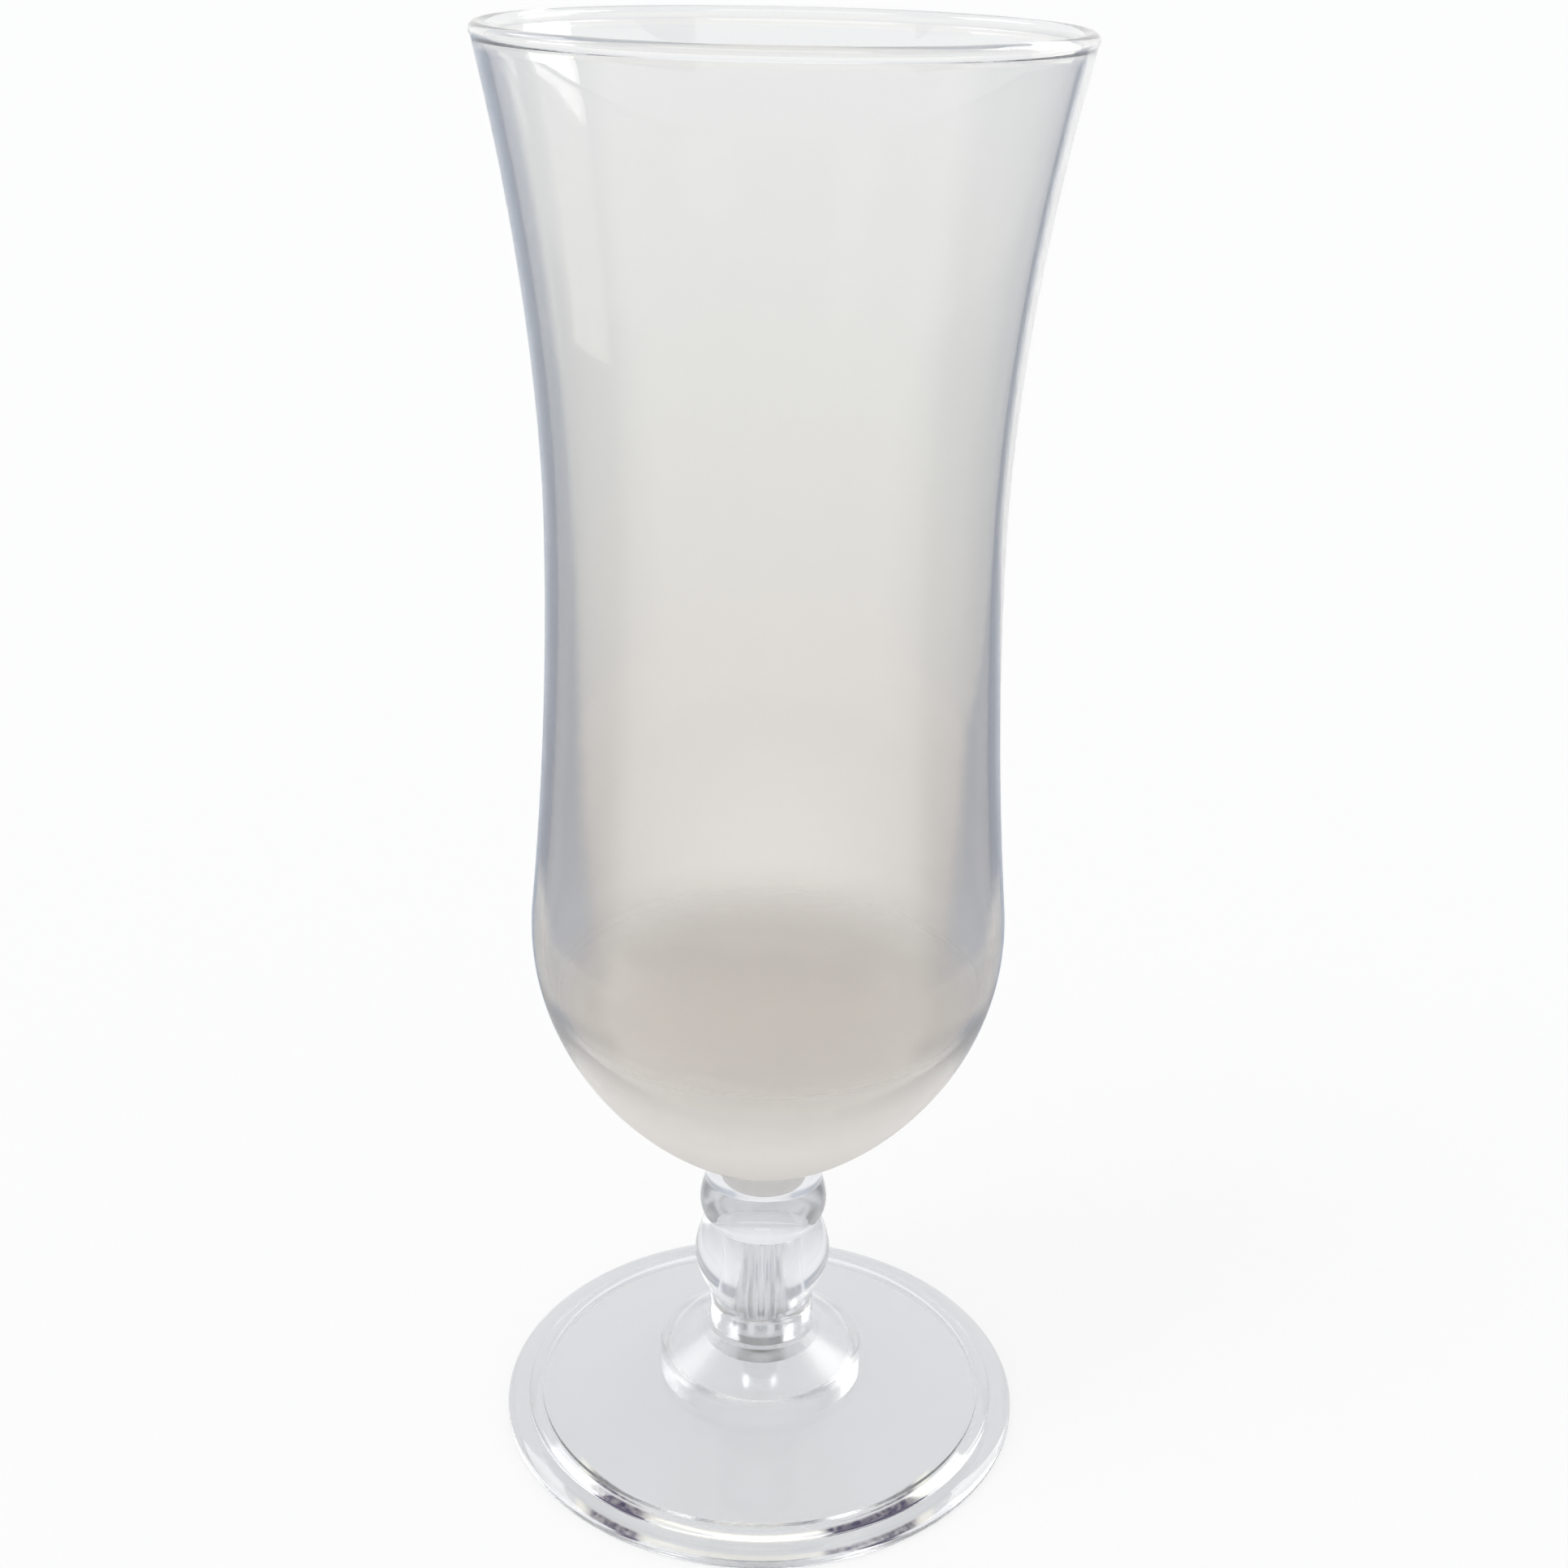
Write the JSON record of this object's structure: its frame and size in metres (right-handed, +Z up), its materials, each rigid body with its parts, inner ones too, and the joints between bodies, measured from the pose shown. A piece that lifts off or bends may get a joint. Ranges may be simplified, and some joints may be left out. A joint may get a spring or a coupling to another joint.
{
  "type": "hurricane glass",
  "caption": "Tall waisted hurricane glass with a flared rim, a knopped clear stem and a round stepped foot, for cold drinks.",
  "frame": {"origin": "centre of the foot's underside, on the table that the glass stands on", "axes": "+Z up along the axis of the glass, towards the rim; the glass is the same all round"},
  "size_m": [0.0776, 0.0776, 0.2014],
  "materials": {
    "milky_plastic": "glossy, milky and translucent",
    "clear_plastic": "glossy and water clear"
  },
  "bodies": {
    "root": {"bowl": "milky_plastic", "stem": "clear_plastic", "foot": "clear_plastic"}
  },
  "joints": []
}
